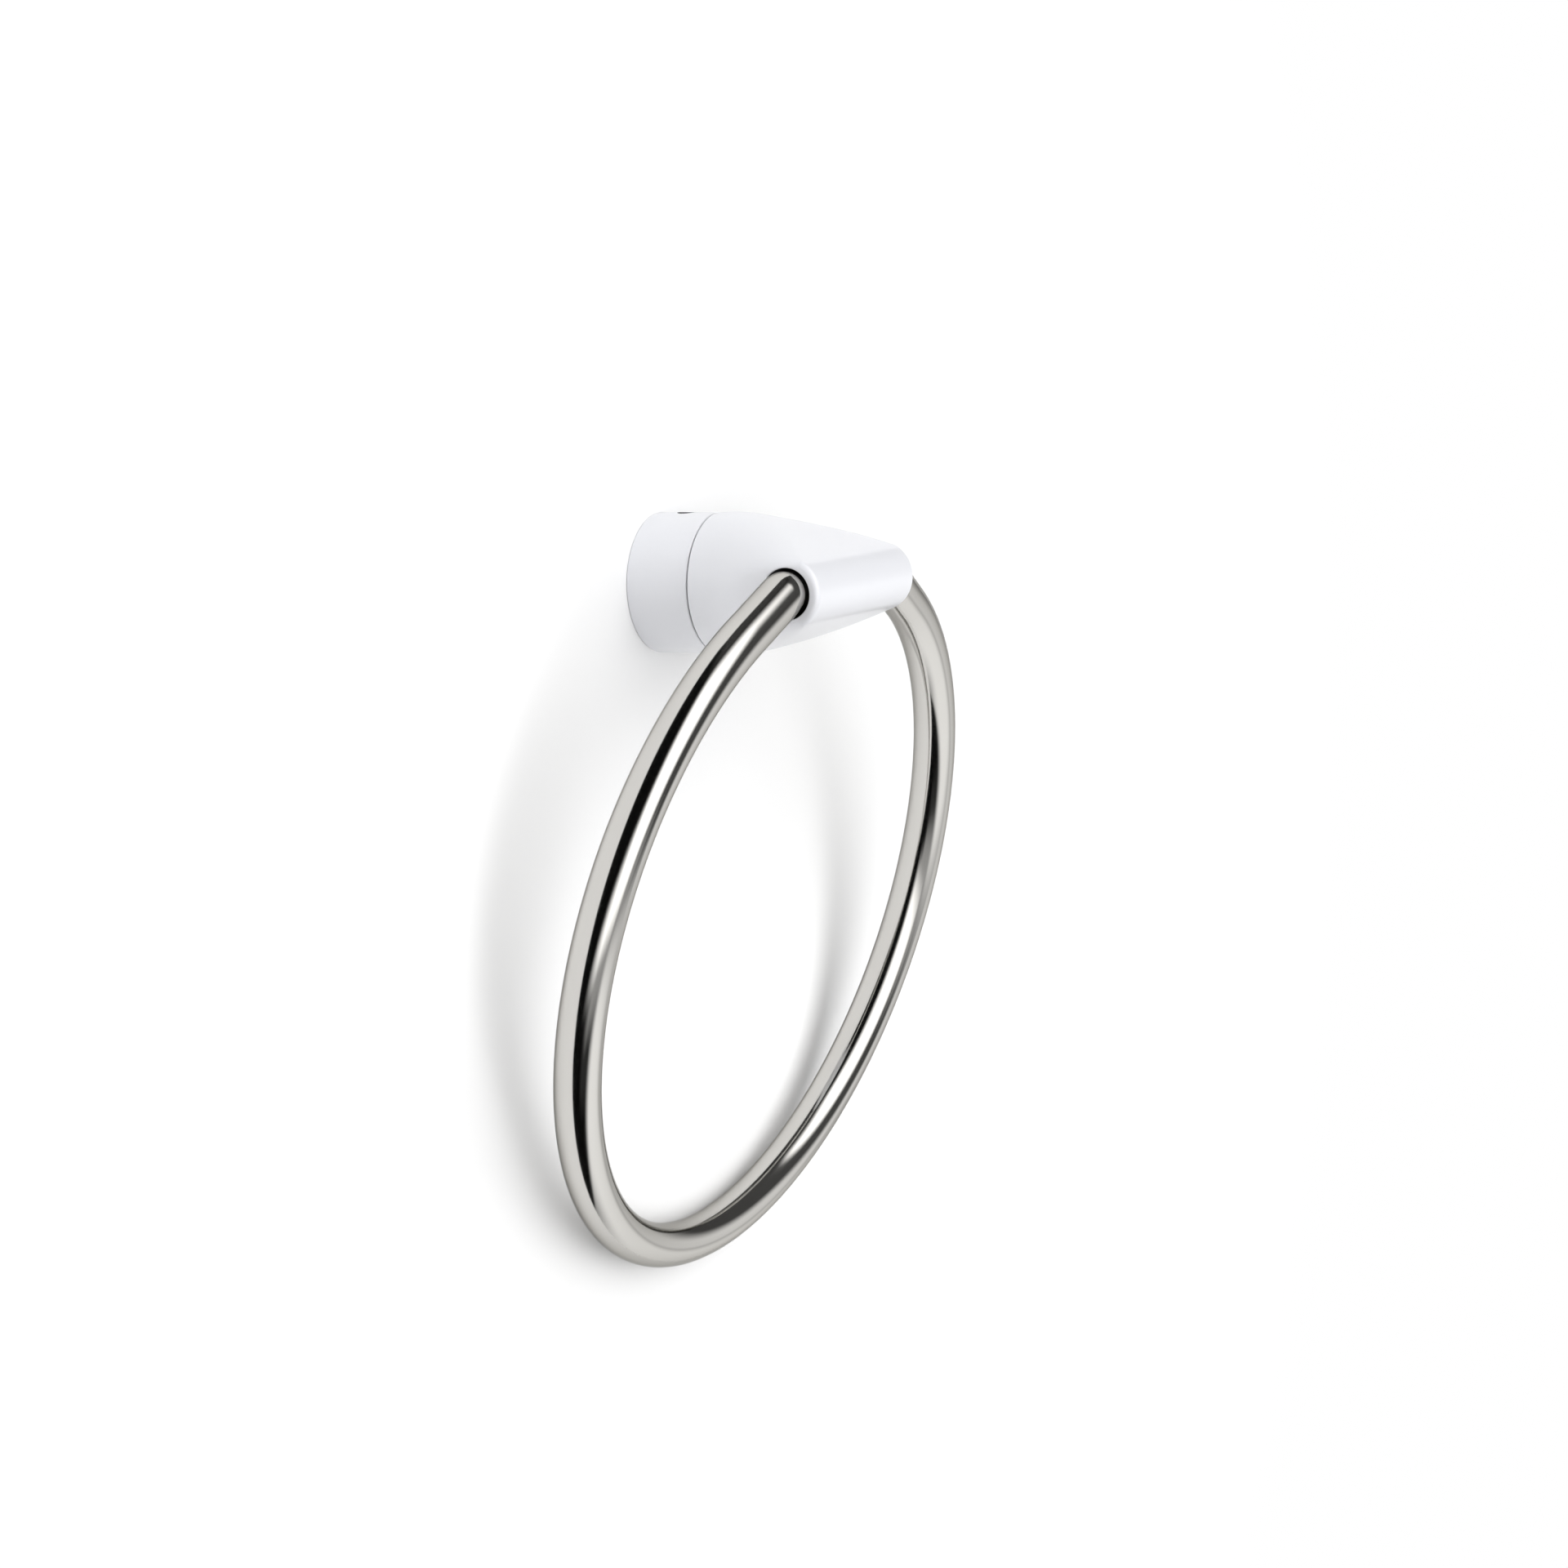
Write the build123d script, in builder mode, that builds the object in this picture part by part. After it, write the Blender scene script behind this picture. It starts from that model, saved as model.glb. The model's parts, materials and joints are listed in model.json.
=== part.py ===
from build123d import *
from math import acos, asin, atan2, cos, degrees, hypot, pi, radians, sin, sqrt, tan
import os

# A wall-fixed towel ring: a round post in two pieces, and a bent bar that swings in its head.
# The wall is the plane Y = 0, the post stands out along -Y, and the ring hangs along -Z.
# A depth is a distance from the wall, and a reach is a distance from the middle along X.

# Post
base_diameter = 37.5
rosette_depth = 18.1
seam_gap = 0.3
bore_depth = 52.3
head_width = 56.2
nose_radius = 9.4
slope_angle = 28.5
slope_start = 23.3
crown_end = 29.0
widening = 0.115
flare_end = 48.5
crest_power = 1.9
corner_land = 0.1
rim_radius = 1.45
nose_end_angle = 86.0
neck_sections = 8
nose_sections = 6
register_inset = 2.6

# Ring
bar_diameter = 12.0
ring_outside_diameter = 200.0
pivot_below_top = 2.8
elbow_gap = 1.25
bend_radius = 6.6
stub_end_reach = 11.0
bore_clearance = 0.9
bore_end_gap = 2.0
bore_lip = 0.4
wall_gap = 0.3

# Fixing inside the rosette
rosette_wall = 4.0
rosette_front_wall = 4.1
plate_clearance = 0.15
plate_depth = 12.0
plate_floor = 3.0
plate_rim_wall = 3.2
wall_screw_spacing = 13.0
wall_screw_hole = 4.5
wall_screw_head = 8.4
grub_depth = 8.5
grub_diameter = 5.0
grub_recess = 1.0
grub_socket = 2.5
grub_socket_depth = 2.0
groove_width = 2.6
thread_clearance = 0.05

# Joint between rosette and head
head_screw_diameter = 6.0
head_screw_length = 20.0
head_screw_head = 10.0
head_screw_head_height = 5.5
head_screw_socket = 5.0
head_screw_socket_depth = 3.0
washer_diameter = 11.8
washer_thickness = 0.8
screw_hole_clearance = 0.2
pin_diameter = 3.0
pin_length = 6.0
pin_spacing = 20.0
pin_clearance = 0.05
hole_end_gap = 1.0

# Edges
front_edge_radius = 0.6
rear_edge_chamfer = 0.3
small_chamfer = 0.4

# Sizes that follow from the ones above
base_radius = base_diameter / 2
seam_depth = rosette_depth + seam_gap
head_half_width = head_width / 2
bar_radius = bar_diameter / 2
bore_radius = bar_radius + bore_clearance
ring_radius = (ring_outside_diameter - bar_diameter) / 2
ring_drop = ring_radius - pivot_below_top
ring_lean = asin((bore_depth - bar_radius - wall_gap) / (ring_drop + ring_radius))
pocket_radius = base_radius - rosette_wall
pocket_depth = rosette_depth - rosette_front_wall
plate_radius = pocket_radius - plate_clearance

# Slope on top of the head: an arc that runs on smoothly into the round nose
slope_end_depth = bore_depth + nose_radius * sin(radians(slope_angle))
slope_end_height = nose_radius * cos(radians(slope_angle))
chord_run = slope_end_depth - slope_start
chord_fall = base_radius + widening * (slope_start - seam_depth) - slope_end_height
slope_arc_half_turn = radians(slope_angle) - atan2(chord_fall, chord_run)
slope_arc_radius = hypot(chord_run, chord_fall) / 2 / sin(slope_arc_half_turn)
slope_arc_depth = slope_end_depth - slope_arc_radius * sin(radians(slope_angle))
slope_arc_height = slope_end_height - slope_arc_radius * cos(radians(slope_angle))


def smooth_run(share, start, start_growth, end, end_growth):
    """Cubic from start to end; each growth is what its end's steepness would give over the whole run."""
    rise = share**2 * (3 - 2 * share)
    leaving = share * (1 - share) ** 2
    arriving = share**2 * (share - 1)
    return start * (1 - rise) + start_growth * leaving + end * rise + end_growth * arriving


def slope_height(depth):
    """Height of the head's upper side: it widens from the seam, then crowns over into the slope."""
    arc_depth = max(depth, crown_end)
    arc_rise = sqrt(slope_arc_radius**2 - (arc_depth - slope_arc_depth) ** 2)
    arc_steepness = (slope_arc_depth - arc_depth) / arc_rise
    crown_run = crown_end - seam_depth
    share = min((depth - seam_depth) / crown_run, 1.0)
    arc_height = slope_arc_height + arc_rise
    return smooth_run(share, base_radius, widening * crown_run, arc_height, arc_steepness * crown_run)


def side_reach(depth):
    """Reach of the head's side: round at the seam, flaring smoothly to its full width."""
    flare_run = flare_end - seam_depth
    share = min((depth - seam_depth) / flare_run, 1.0)
    return smooth_run(share, base_radius, widening * flare_run, head_half_width, 0)


def crest_radius(depth):
    """Radius of the neck's corners: a circle at the seam, a rounded slot where the nose begins."""
    share = max((depth - slope_start) / chord_run, 0.0) ** crest_power
    round_radius = min(slope_height(depth), side_reach(depth)) - corner_land
    return round_radius * (1 - share) + rim_radius * share


def rim_setback(distance):
    """How far the side face is rounded back, at this distance from the bore's axis."""
    beyond = max(distance - (nose_radius - rim_radius), 0.0)
    return rim_radius - sqrt(rim_radius**2 - beyond**2)


# Rosette: a cup, open to the wall, with a thick front that the head is screwed to
with BuildPart() as rosette:
    with BuildSketch(Plane.XZ):
        Circle(base_radius)
    extrude(amount=rosette_depth)
    fillet(rosette.edges().group_by(Axis.Y)[0], front_edge_radius)
    chamfer(rosette.edges().group_by(Axis.Y)[-1], rear_edge_chamfer)
    with BuildSketch(Plane.XZ):
        Circle(pocket_radius)
    extrude(amount=pocket_depth, mode=Mode.SUBTRACT)
    with BuildSketch(Plane.XZ):
        Circle(head_screw_diameter / 2 + screw_hole_clearance)
        with Locations((-pin_spacing / 2, 0), (pin_spacing / 2, 0)):
            Circle(pin_diameter / 2 + pin_clearance)
    extrude(amount=rosette_depth, mode=Mode.SUBTRACT)
    with BuildSketch(Plane.XY):
        with Locations((0, -grub_depth)):
            Circle(grub_diameter / 2 + thread_clearance)
    extrude(amount=base_radius, mode=Mode.SUBTRACT)
    rosette.part.label = "rosette"

# Wall plate: a shallow dish that two screws hold to the wall, with a groove for the grub screw
with BuildPart() as wall_plate:
    with BuildSketch(Plane.XZ):
        Circle(plate_radius)
    extrude(amount=plate_depth)
    chamfer(wall_plate.edges().group_by(Axis.Y)[0], small_chamfer)
    with BuildSketch(Plane.XZ.offset(plate_floor)):
        Circle(plate_radius - plate_rim_wall)
    extrude(amount=plate_depth - plate_floor, mode=Mode.SUBTRACT)
    with BuildSketch(Plane.XY):
        with BuildLine():
            Polyline(
                (plate_radius - groove_width / 2, -grub_depth),
                (plate_radius, -grub_depth - groove_width / 2),
                (plate_radius + groove_width / 2, -grub_depth),
                (plate_radius, -grub_depth + groove_width / 2),
                close=True,
            )
        make_face()
    revolve(axis=Axis.Y, mode=Mode.SUBTRACT)
    with Locations(Plane.XZ.offset(plate_floor)):
        with Locations((-wall_screw_spacing / 2, 0), (wall_screw_spacing / 2, 0)):
            CounterSinkHole(wall_screw_hole / 2, wall_screw_head / 2)
    wall_plate.part.label = "wall_plate"

# Grub screw: through the top of the rosette, its point in the groove of the wall plate
grub_top = base_radius - grub_recess
grub_point = plate_radius - groove_width / 2 + thread_clearance
with BuildPart() as grub_screw:
    with BuildSketch(Plane.XZ.offset(grub_depth)):
        with BuildLine():
            Polyline(
                (0, grub_point),
                (grub_diameter / 2, grub_point + grub_diameter / 2),
                (grub_diameter / 2, grub_top - small_chamfer),
                (grub_diameter / 2 - small_chamfer, grub_top),
                (0, grub_top),
                close=True,
            )
        make_face()
    revolve(axis=Axis((0, -grub_depth, 0), (0, 0, 1)))
    with BuildSketch(Plane.XY.offset(grub_top)):
        with Locations((0, -grub_depth)):
            RegularPolygon(grub_socket / 2, 6, major_radius=False)
    extrude(amount=-grub_socket_depth, mode=Mode.SUBTRACT)
    grub_screw.part.label = "grub_screw"

# Lock washer under the head screw, against the inside of the rosette's front
washer_face = pocket_depth - washer_thickness
with BuildPart() as lock_washer:
    with BuildSketch(Plane.XZ.offset(washer_face)):
        Circle(washer_diameter / 2)
        Circle(head_screw_diameter / 2 + screw_hole_clearance, mode=Mode.SUBTRACT)
    extrude(amount=washer_thickness)
    lock_washer.part.label = "lock_washer"

# Head screw: a socket screw from inside the rosette into the head
with BuildPart() as head_screw:
    with BuildSketch(Plane.XZ.offset(washer_face - head_screw_head_height)):
        Circle(head_screw_head / 2)
    extrude(amount=head_screw_head_height)
    chamfer(head_screw.edges().group_by(Axis.Y)[-1], small_chamfer)
    with BuildSketch(Plane.XZ.offset(washer_face)):
        Circle(head_screw_diameter / 2)
    extrude(amount=head_screw_length)
    chamfer(head_screw.edges().group_by(Axis.Y)[0], small_chamfer)
    with BuildSketch(Plane.XZ.offset(washer_face - head_screw_head_height)):
        RegularPolygon(head_screw_socket / 2, 6, major_radius=False)
    extrude(amount=head_screw_socket_depth, mode=Mode.SUBTRACT)
    head_screw.part.label = "head_screw"

# Two locating pins across the seam
pin_start = rosette_depth - pin_length / 2
with BuildPart() as locating_pins:
    with BuildSketch(Plane.XZ.offset(pin_start)):
        with Locations((-pin_spacing / 2, 0), (pin_spacing / 2, 0)):
            Circle(pin_diameter / 2)
    extrude(amount=pin_length)
    locating_pins.part.label = "locating_pins"

# Head: lofted from the round seam to the wide nose, with a bore in each side for the ring
bore_end_reach = stub_end_reach - bore_end_gap
screw_hole_end = washer_face + head_screw_length + hole_end_gap
pin_hole_end = pin_start + pin_length + hole_end_gap / 2
with BuildPart() as holder_head:
    for section in range(neck_sections):
        depth = seam_depth + (slope_end_depth - seam_depth) * section / (neck_sections - 1)
        with BuildSketch(Plane.XZ.offset(depth)):
            RectangleRounded(2 * side_reach(depth), 2 * slope_height(depth), crest_radius(depth))
    loft()
    for section in range(nose_sections):
        turn = slope_angle + (nose_end_angle - slope_angle) * section / (nose_sections - 1)
        beyond = nose_radius * sin(radians(turn))
        height = nose_radius * cos(radians(turn))
        setback = rim_setback(beyond)
        with BuildSketch(Plane.XZ.offset(bore_depth + beyond)):
            RectangleRounded(2 * (head_half_width - setback), 2 * height, rim_radius - setback)
    loft()
    with BuildSketch(Plane.XZ.offset(rosette_depth)):
        Circle(base_radius - register_inset)
    extrude(amount=seam_gap)
    with BuildSketch(Plane.XY):
        with BuildLine():
            Polyline(
                (bore_end_reach, -bore_depth),
                (bore_end_reach, -bore_depth + bore_radius),
                (head_half_width - bore_lip, -bore_depth + bore_radius),
                (head_half_width + bore_lip, -bore_depth + bore_radius + 2 * bore_lip),
                (head_half_width + bore_lip, -bore_depth),
                close=True,
            )
        make_face()
        mirror(about=Plane.YZ)
    revolve(axis=Axis((0, -bore_depth, 0), (1, 0, 0)), mode=Mode.SUBTRACT)
    with BuildSketch(Plane.XZ.offset(rosette_depth)):
        Circle(head_screw_diameter / 2 + thread_clearance)
    extrude(amount=screw_hole_end - rosette_depth, mode=Mode.SUBTRACT)
    with BuildSketch(Plane.XZ.offset(rosette_depth)):
        with Locations((-pin_spacing / 2, 0), (pin_spacing / 2, 0)):
            Circle(pin_diameter / 2 + pin_clearance)
    extrude(amount=pin_hole_end - rosette_depth, mode=Mode.SUBTRACT)
    holder_head.part.label = "holder_head"

# Ring: one bent bar whose ends turn in the two bores, leaning until it all but meets the wall
corner_reach = head_half_width + elbow_gap
corner_distance = hypot(corner_reach, ring_drop)
shoulder = atan2(corner_reach, ring_drop) + acos(ring_radius / corner_distance)
elbow_setback = bend_radius * tan(shoulder / 2)
elbow_reach = corner_reach - elbow_setback
shoulder_length = sqrt(corner_distance**2 - ring_radius**2) - elbow_setback
ring_plane = Plane(
    origin=(0, -bore_depth, 0), x_dir=(1, 0, 0), z_dir=(0, -cos(ring_lean), -sin(ring_lean))
)
elbow_middle = ring_plane.from_local_coords((elbow_reach, -bend_radius, 0))
circle_middle = ring_plane.from_local_coords((0, -ring_drop, 0))
shoulder_start = ring_plane.from_local_coords(
    (elbow_reach + bend_radius * sin(shoulder), bend_radius * (cos(shoulder) - 1), 0)
)
shoulder_end = ring_plane.from_local_coords(
    (ring_radius * sin(shoulder), ring_radius * cos(shoulder) - ring_drop, 0)
)
with BuildPart() as ring:
    with BuildSketch(Plane.YZ.offset(stub_end_reach)):
        with Locations((-bore_depth, 0)):
            Circle(bar_radius)
    extrude(amount=elbow_reach - stub_end_reach)
    chamfer(ring.edges().group_by(Axis.X)[0], small_chamfer)
    with BuildSketch(Plane.YZ.offset(elbow_reach)):
        with Locations((-bore_depth, 0)):
            Circle(bar_radius)
    revolve(axis=Axis(elbow_middle, -ring_plane.z_dir), revolution_arc=degrees(shoulder))
    with BuildSketch(Plane(shoulder_start, z_dir=shoulder_end - shoulder_start)):
        Circle(bar_radius)
    extrude(amount=shoulder_length)
    with BuildSketch(Plane(shoulder_end, z_dir=shoulder_end - shoulder_start)):
        Circle(bar_radius)
    revolve(axis=Axis(circle_middle, -ring_plane.z_dir), revolution_arc=degrees(pi - shoulder))
    mirror(about=Plane.YZ)
    ring.part.label = "ring"

os.makedirs("parts", exist_ok=True)
for piece in (rosette, wall_plate, grub_screw, lock_washer, head_screw, locating_pins, holder_head, ring):
    export_step(piece.part, f"parts/{piece.part.label}.step")

print("lean of the ring in degrees:", round(degrees(ring_lean), 3))
print("corner of the ring beside the head:", round(corner_reach, 2))
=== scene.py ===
import json
from math import acos, asin, atan2, cos, degrees, hypot, pi, radians, sin, sqrt, tan

import bmesh
import bpy
import numpy as np
from bpy.props import FloatProperty, FloatVectorProperty, IntProperty, PointerProperty
from mathutils import Matrix, Vector


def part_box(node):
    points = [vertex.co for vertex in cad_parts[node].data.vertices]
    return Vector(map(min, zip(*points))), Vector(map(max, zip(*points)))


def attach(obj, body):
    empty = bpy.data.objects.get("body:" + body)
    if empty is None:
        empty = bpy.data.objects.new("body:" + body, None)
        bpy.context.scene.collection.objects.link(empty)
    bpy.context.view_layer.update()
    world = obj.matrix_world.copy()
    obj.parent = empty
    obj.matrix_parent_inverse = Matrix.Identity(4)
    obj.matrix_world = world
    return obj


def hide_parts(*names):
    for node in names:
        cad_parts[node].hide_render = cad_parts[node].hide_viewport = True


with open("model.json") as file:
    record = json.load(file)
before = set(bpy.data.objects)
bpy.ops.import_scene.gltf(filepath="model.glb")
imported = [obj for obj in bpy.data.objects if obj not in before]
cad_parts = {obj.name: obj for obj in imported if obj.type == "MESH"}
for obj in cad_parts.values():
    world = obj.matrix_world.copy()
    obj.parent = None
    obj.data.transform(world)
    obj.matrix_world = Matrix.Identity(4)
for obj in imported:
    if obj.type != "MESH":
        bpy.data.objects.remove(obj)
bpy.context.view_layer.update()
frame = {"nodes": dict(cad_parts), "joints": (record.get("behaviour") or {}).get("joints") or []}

bl_info = {
    "name": "Towel Ring",
    "version": (1, 0, 0),
    "blender": (4, 5, 0),
    "location": "3D View > Sidebar > Towel Ring",
    "description": "Builds a wall-fixed towel ring: a white post with a flared head and a bright bent bar",
    "category": "Object",
}

ROSETTE_LOW, ROSETTE_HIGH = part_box("rosette")
HEAD_LOW, HEAD_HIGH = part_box("holder_head")
RING_LOW, RING_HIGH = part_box("ring")
GRUB_LOW, GRUB_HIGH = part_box("grub_screw")
PIVOT = Vector(frame["joints"][0]["pos_m"])
SEAM_GAP = 0.0003


# Settings

def length(name, description, default):
    """A length that a user can change, in metres."""
    return FloatProperty(name=name, description=description, default=default, unit="LENGTH", precision=5)


def turn(name, description, default):
    """An angle that a user can change, in radians."""
    return FloatProperty(name=name, description=description, default=default, subtype="ANGLE")


def number(name, description, default):
    """A number without a unit that a user can change."""
    return FloatProperty(name=name, description=description, default=default, precision=4)


def colour(name, description, default):
    """A colour that a user can change, in linear light."""
    return FloatVectorProperty(
        name=name, description=description, default=default, size=3, min=0, max=1, subtype="COLOR"
    )


class PostSettings(bpy.types.PropertyGroup):
    base_diameter: length("Base diameter", "Across the round post at the wall", 2 * ROSETTE_HIGH.x)
    seam_depth: length("Seam depth", "From the wall to the back of the head", -ROSETTE_LOW.y + SEAM_GAP)
    head_width: length("Head width", "Across the head from one bore's mouth to the other", 2 * HEAD_HIGH.x)
    nose_end: length("Nose end", "From the wall to the tip of the head", -HEAD_LOW.y)
    bore_depth: length("Bore depth", "From the wall to the axis of the bores", -PIVOT.y)
    bore_diameter: length("Bore diameter", "Across the bores that take the bar", 0.0133)
    bore_end: length("Bore end", "From the middle of the head to the end of each bore", 0.009)
    slope_start: length("Slope start", "From the wall to where the arc of the slope starts", 0.0233)
    crown_end: length("Crown end", "From the wall to where the upper side lies on that arc", 0.029)
    widening: number("Widening", "Growth of the radius for each unit of depth at the seam", 0.115)
    slope_angle: turn("Slope angle", "Fall of the upper side where it meets the nose", radians(28.5))
    flare_end: length("Flare end", "From the wall to where the head reaches its full width", 0.0485)
    crest_power: number("Crest power", "How late the round section turns into a slot", 1.9)
    rim_radius: length("Rim radius", "Rounding between the nose and the flat sides", 0.00145)
    lip_radius: length("Lip radius", "Rounding of the mouths of the bores", 0.0004)
    back_edge: length("Back edge", "Rounding of the head's edge at the seam", 0.00018)
    register_inset: length("Register inset", "How far in the disc between the two pieces lies", 0.0026)
    coat: colour("Coat", "Colour of the white coat", (0.885, 0.893, 0.93))


class RingSettings(bpy.types.PropertyGroup):
    bar_diameter: length("Bar diameter", "Across the bar", 0.012)
    outside_diameter: length("Outside diameter", "Across the ring", 2 * RING_HIGH.x)
    pivot_below_top: length("Pivot below top", "From the top of the bar's circle down to the bores", 0.0028)
    elbow_gap: length("Elbow gap", "From the side of the head to the corner of the bar", 0.00125)
    bend_radius: length("Bend radius", "Radius of the bends beside the head", 0.0066)
    stub_end: length("Stub end", "From the middle of the head to the ends of the bar", 0.011)
    wall_gap: length("Wall gap", "Between the ring's lowest point and the wall", 0.0003)
    facets_round: IntProperty(name="Facets round", description="Facets round the bar", default=96)
    metal: colour("Metal", "Colour of the polished metal", (0.615, 0.602, 0.576))
    edge_tint: colour("Edge tint", "Tint of the metal where it is seen at a low angle", (0.45, 0.445, 0.43))


class StageSettings(bpy.types.PropertyGroup):
    camera_azimuth: turn("Camera azimuth", "Turn of the camera to the left of the post", radians(61.994))
    camera_elevation: turn("Camera elevation", "Rise of the camera above the horizon", radians(8.362))
    camera_roll: turn("Camera roll", "Roll of the camera about its own axis", radians(-1.846))
    camera_distance: length("Camera distance", "Depth of the post's origin in front of the camera", 0.86505)
    focal_pixels: number("Focal length in pixels", "Focal length over the size of a pixel", 3946.28)
    origin_column: number("Origin column", "Column of the post's origin in the picture", 810.254)
    origin_row: number("Origin row", "Row of the post's origin in the picture", 712.924)
    room_light: number("Room light", "Light on the wall and the coat, over what the metal mirrors", 1.42)
    wall_radius: length("Wall radius", "Radius of the patch of wall that takes shadows", 1.25)


# Meshes

MERGE_DISTANCE = 1e-6


def new_piece(name, vertices, faces, *materials):
    """A mesh object at the origin, linked to the scene."""
    mesh = bpy.data.meshes.new(name)
    mesh.from_pydata([tuple(v) for v in vertices], [], [tuple(f) for f in faces])
    mesh.validate()
    for material in materials:
        mesh.materials.append(material)
    piece = bpy.data.objects.new(name, mesh)
    bpy.context.scene.collection.objects.link(piece)
    return piece


def grid_faces(rows, columns):
    """Quads between neighbouring rows of points, each row a closed loop."""
    faces = []
    for row in range(rows - 1):
        for column in range(columns):
            after = (column + 1) % columns
            here, there = row * columns, (row + 1) * columns
            faces.append((here + column, here + after, there + after, there + column))
    return faces


def tidy_surface(piece):
    """Merges doubled points and turns every face outwards."""
    mesh = bmesh.new()
    mesh.from_mesh(piece.data)
    bmesh.ops.remove_doubles(mesh, verts=mesh.verts, dist=MERGE_DISTANCE)
    bmesh.ops.dissolve_degenerate(mesh, edges=mesh.edges, dist=MERGE_DISTANCE / 2)
    bmesh.ops.recalc_face_normals(mesh, faces=mesh.faces)
    mesh.to_mesh(piece.data)
    mesh.free()


def turned_piece(name, profile, place, steps, *materials):
    """A solid of revolution. The profile holds (along, radius) pairs, and place maps
    (along, radius, angle) to a point."""
    angles = [2 * pi * k / steps for k in range(steps)]
    points = [place(along, radius, angle) for along, radius in profile for angle in angles]
    piece = new_piece(name, points, grid_faces(len(profile), steps), *materials)
    tidy_surface(piece)
    return piece


def apply_modifiers(piece):
    """Turns the evaluated object into plain mesh data and drops its modifiers."""
    evaluated = piece.evaluated_get(bpy.context.evaluated_depsgraph_get())
    mesh = bpy.data.meshes.new_from_object(evaluated)
    if piece.type == "MESH":
        piece.modifiers.clear()
        piece.data = mesh
        return piece
    plain = bpy.data.objects.new(piece.name, mesh)
    bpy.data.objects.remove(piece)
    bpy.context.scene.collection.objects.link(plain)
    return plain


def cut(piece, tool):
    """Cuts one solid out of another, taking over the tool's materials, and drops the tool."""
    boolean = piece.modifiers.new("Cut", "BOOLEAN")
    boolean.operation = "DIFFERENCE"
    boolean.solver = "EXACT"
    boolean.material_mode = "TRANSFER"
    boolean.object = tool
    apply_modifiers(piece)
    bpy.data.objects.remove(tool)


def smooth(piece, sharp_from):
    """Smooth shading, with sharp edges where faces turn by more than this angle."""
    piece.data.shade_smooth()
    piece.data.set_sharp_from_angle(angle=sharp_from)


# Nodes

COLUMN_WIDTH = 220
ROW_HEIGHT = 180
# A Mix node's sockets for colours, which share their names with those for numbers
MIX_FIRST, MIX_SECOND, MIX_RESULT = 6, 7, 2
# Most values of a noise pattern lie between these two, which are mapped to the ends of a range
NOISE_LOW, NOISE_HIGH = 0.35, 0.65


def add_node(tree, kind, **values):
    """A node with attributes and input defaults set by name."""
    node = tree.nodes.new(kind)
    for key, value in values.items():
        if hasattr(node, key):
            setattr(node, key, value)
        else:
            node.inputs[key.replace("_", " ")].default_value = value
    return node


def feed(tree, node, **sources):
    """Links other nodes' outputs to this node's inputs by name."""
    for key, source in sources.items():
        tree.links.new(source, node.inputs[key.replace("_", " ")])


def lay_out(tree):
    """Places the nodes in columns, each to the left of the nodes that it feeds."""
    columns = {}

    def column_of(node):
        if node.name not in columns:
            fed = [link.to_node for socket in node.outputs for link in socket.links]
            columns[node.name] = 1 + max((column_of(other) for other in fed), default=-1)
        return columns[node.name]

    rows = {}
    for node in tree.nodes:
        column = column_of(node)
        rows[column] = rows.get(column, -1) + 1
        node.location = (-COLUMN_WIDTH * column, -ROW_HEIGHT * rows[column])


def new_material(name, base, metallic, roughness):
    """A material with a principled shader, whose plain values the patterns linked to it take over.
    Returns it, its tree and the shader."""
    material = bpy.data.materials.new(name)
    material.use_nodes = True
    shader = material.node_tree.nodes["Principled BSDF"]
    shader.inputs["Base Color"].default_value = (*base, 1)
    shader.inputs["Metallic"].default_value = metallic
    shader.inputs["Roughness"].default_value = roughness
    return material, material.node_tree, shader


def object_coordinates(tree):
    """Places on the object, in metres."""
    return add_node(tree, "ShaderNodeTexCoord").outputs["Object"]


def noise(tree, place, scale, detail):
    """A noise pattern whose scale is in patterns for each metre."""
    node = add_node(tree, "ShaderNodeTexNoise", Scale=scale, Detail=detail)
    feed(tree, node, Vector=place)
    return node.outputs["Fac"]


def between(tree, pattern, low, high):
    """Maps a noise pattern to a range of values."""
    node = add_node(
        tree, "ShaderNodeMapRange", From_Min=NOISE_LOW, From_Max=NOISE_HIGH, To_Min=low, To_Max=high
    )
    feed(tree, node, Value=pattern)
    return node.outputs["Result"]


def tinted(tree, pattern, dark, light):
    """A colour between two colours, by a pattern."""
    node = add_node(tree, "ShaderNodeMix", data_type="RGBA")
    node.inputs[MIX_FIRST].default_value = (*dark, 1)
    node.inputs[MIX_SECOND].default_value = (*light, 1)
    feed(tree, node, Factor=pattern)
    return node.outputs[MIX_RESULT]


def shaded(tree, pattern, base, darkest, lightest):
    """A base colour that a pattern makes a little darker and lighter."""
    return tinted(tree, pattern, dark=base * darkest, light=np.minimum(base * lightest, 1))


def bumped(tree, pattern, relief, strength):
    """A bump from a pattern; the relief is its real height."""
    node = add_node(tree, "ShaderNodeBump", Distance=relief, Strength=strength)
    feed(tree, node, Height=pattern)
    return node.outputs["Normal"]


# Finishes

COAT_GLOSS = 0.3
COAT_GLOSS_ROUGHNESS = 0.1
# The buffing lines' pattern across the bar and, drawn out, along it
BUFFING_STRETCH = (1, 1, 0.02)


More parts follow.
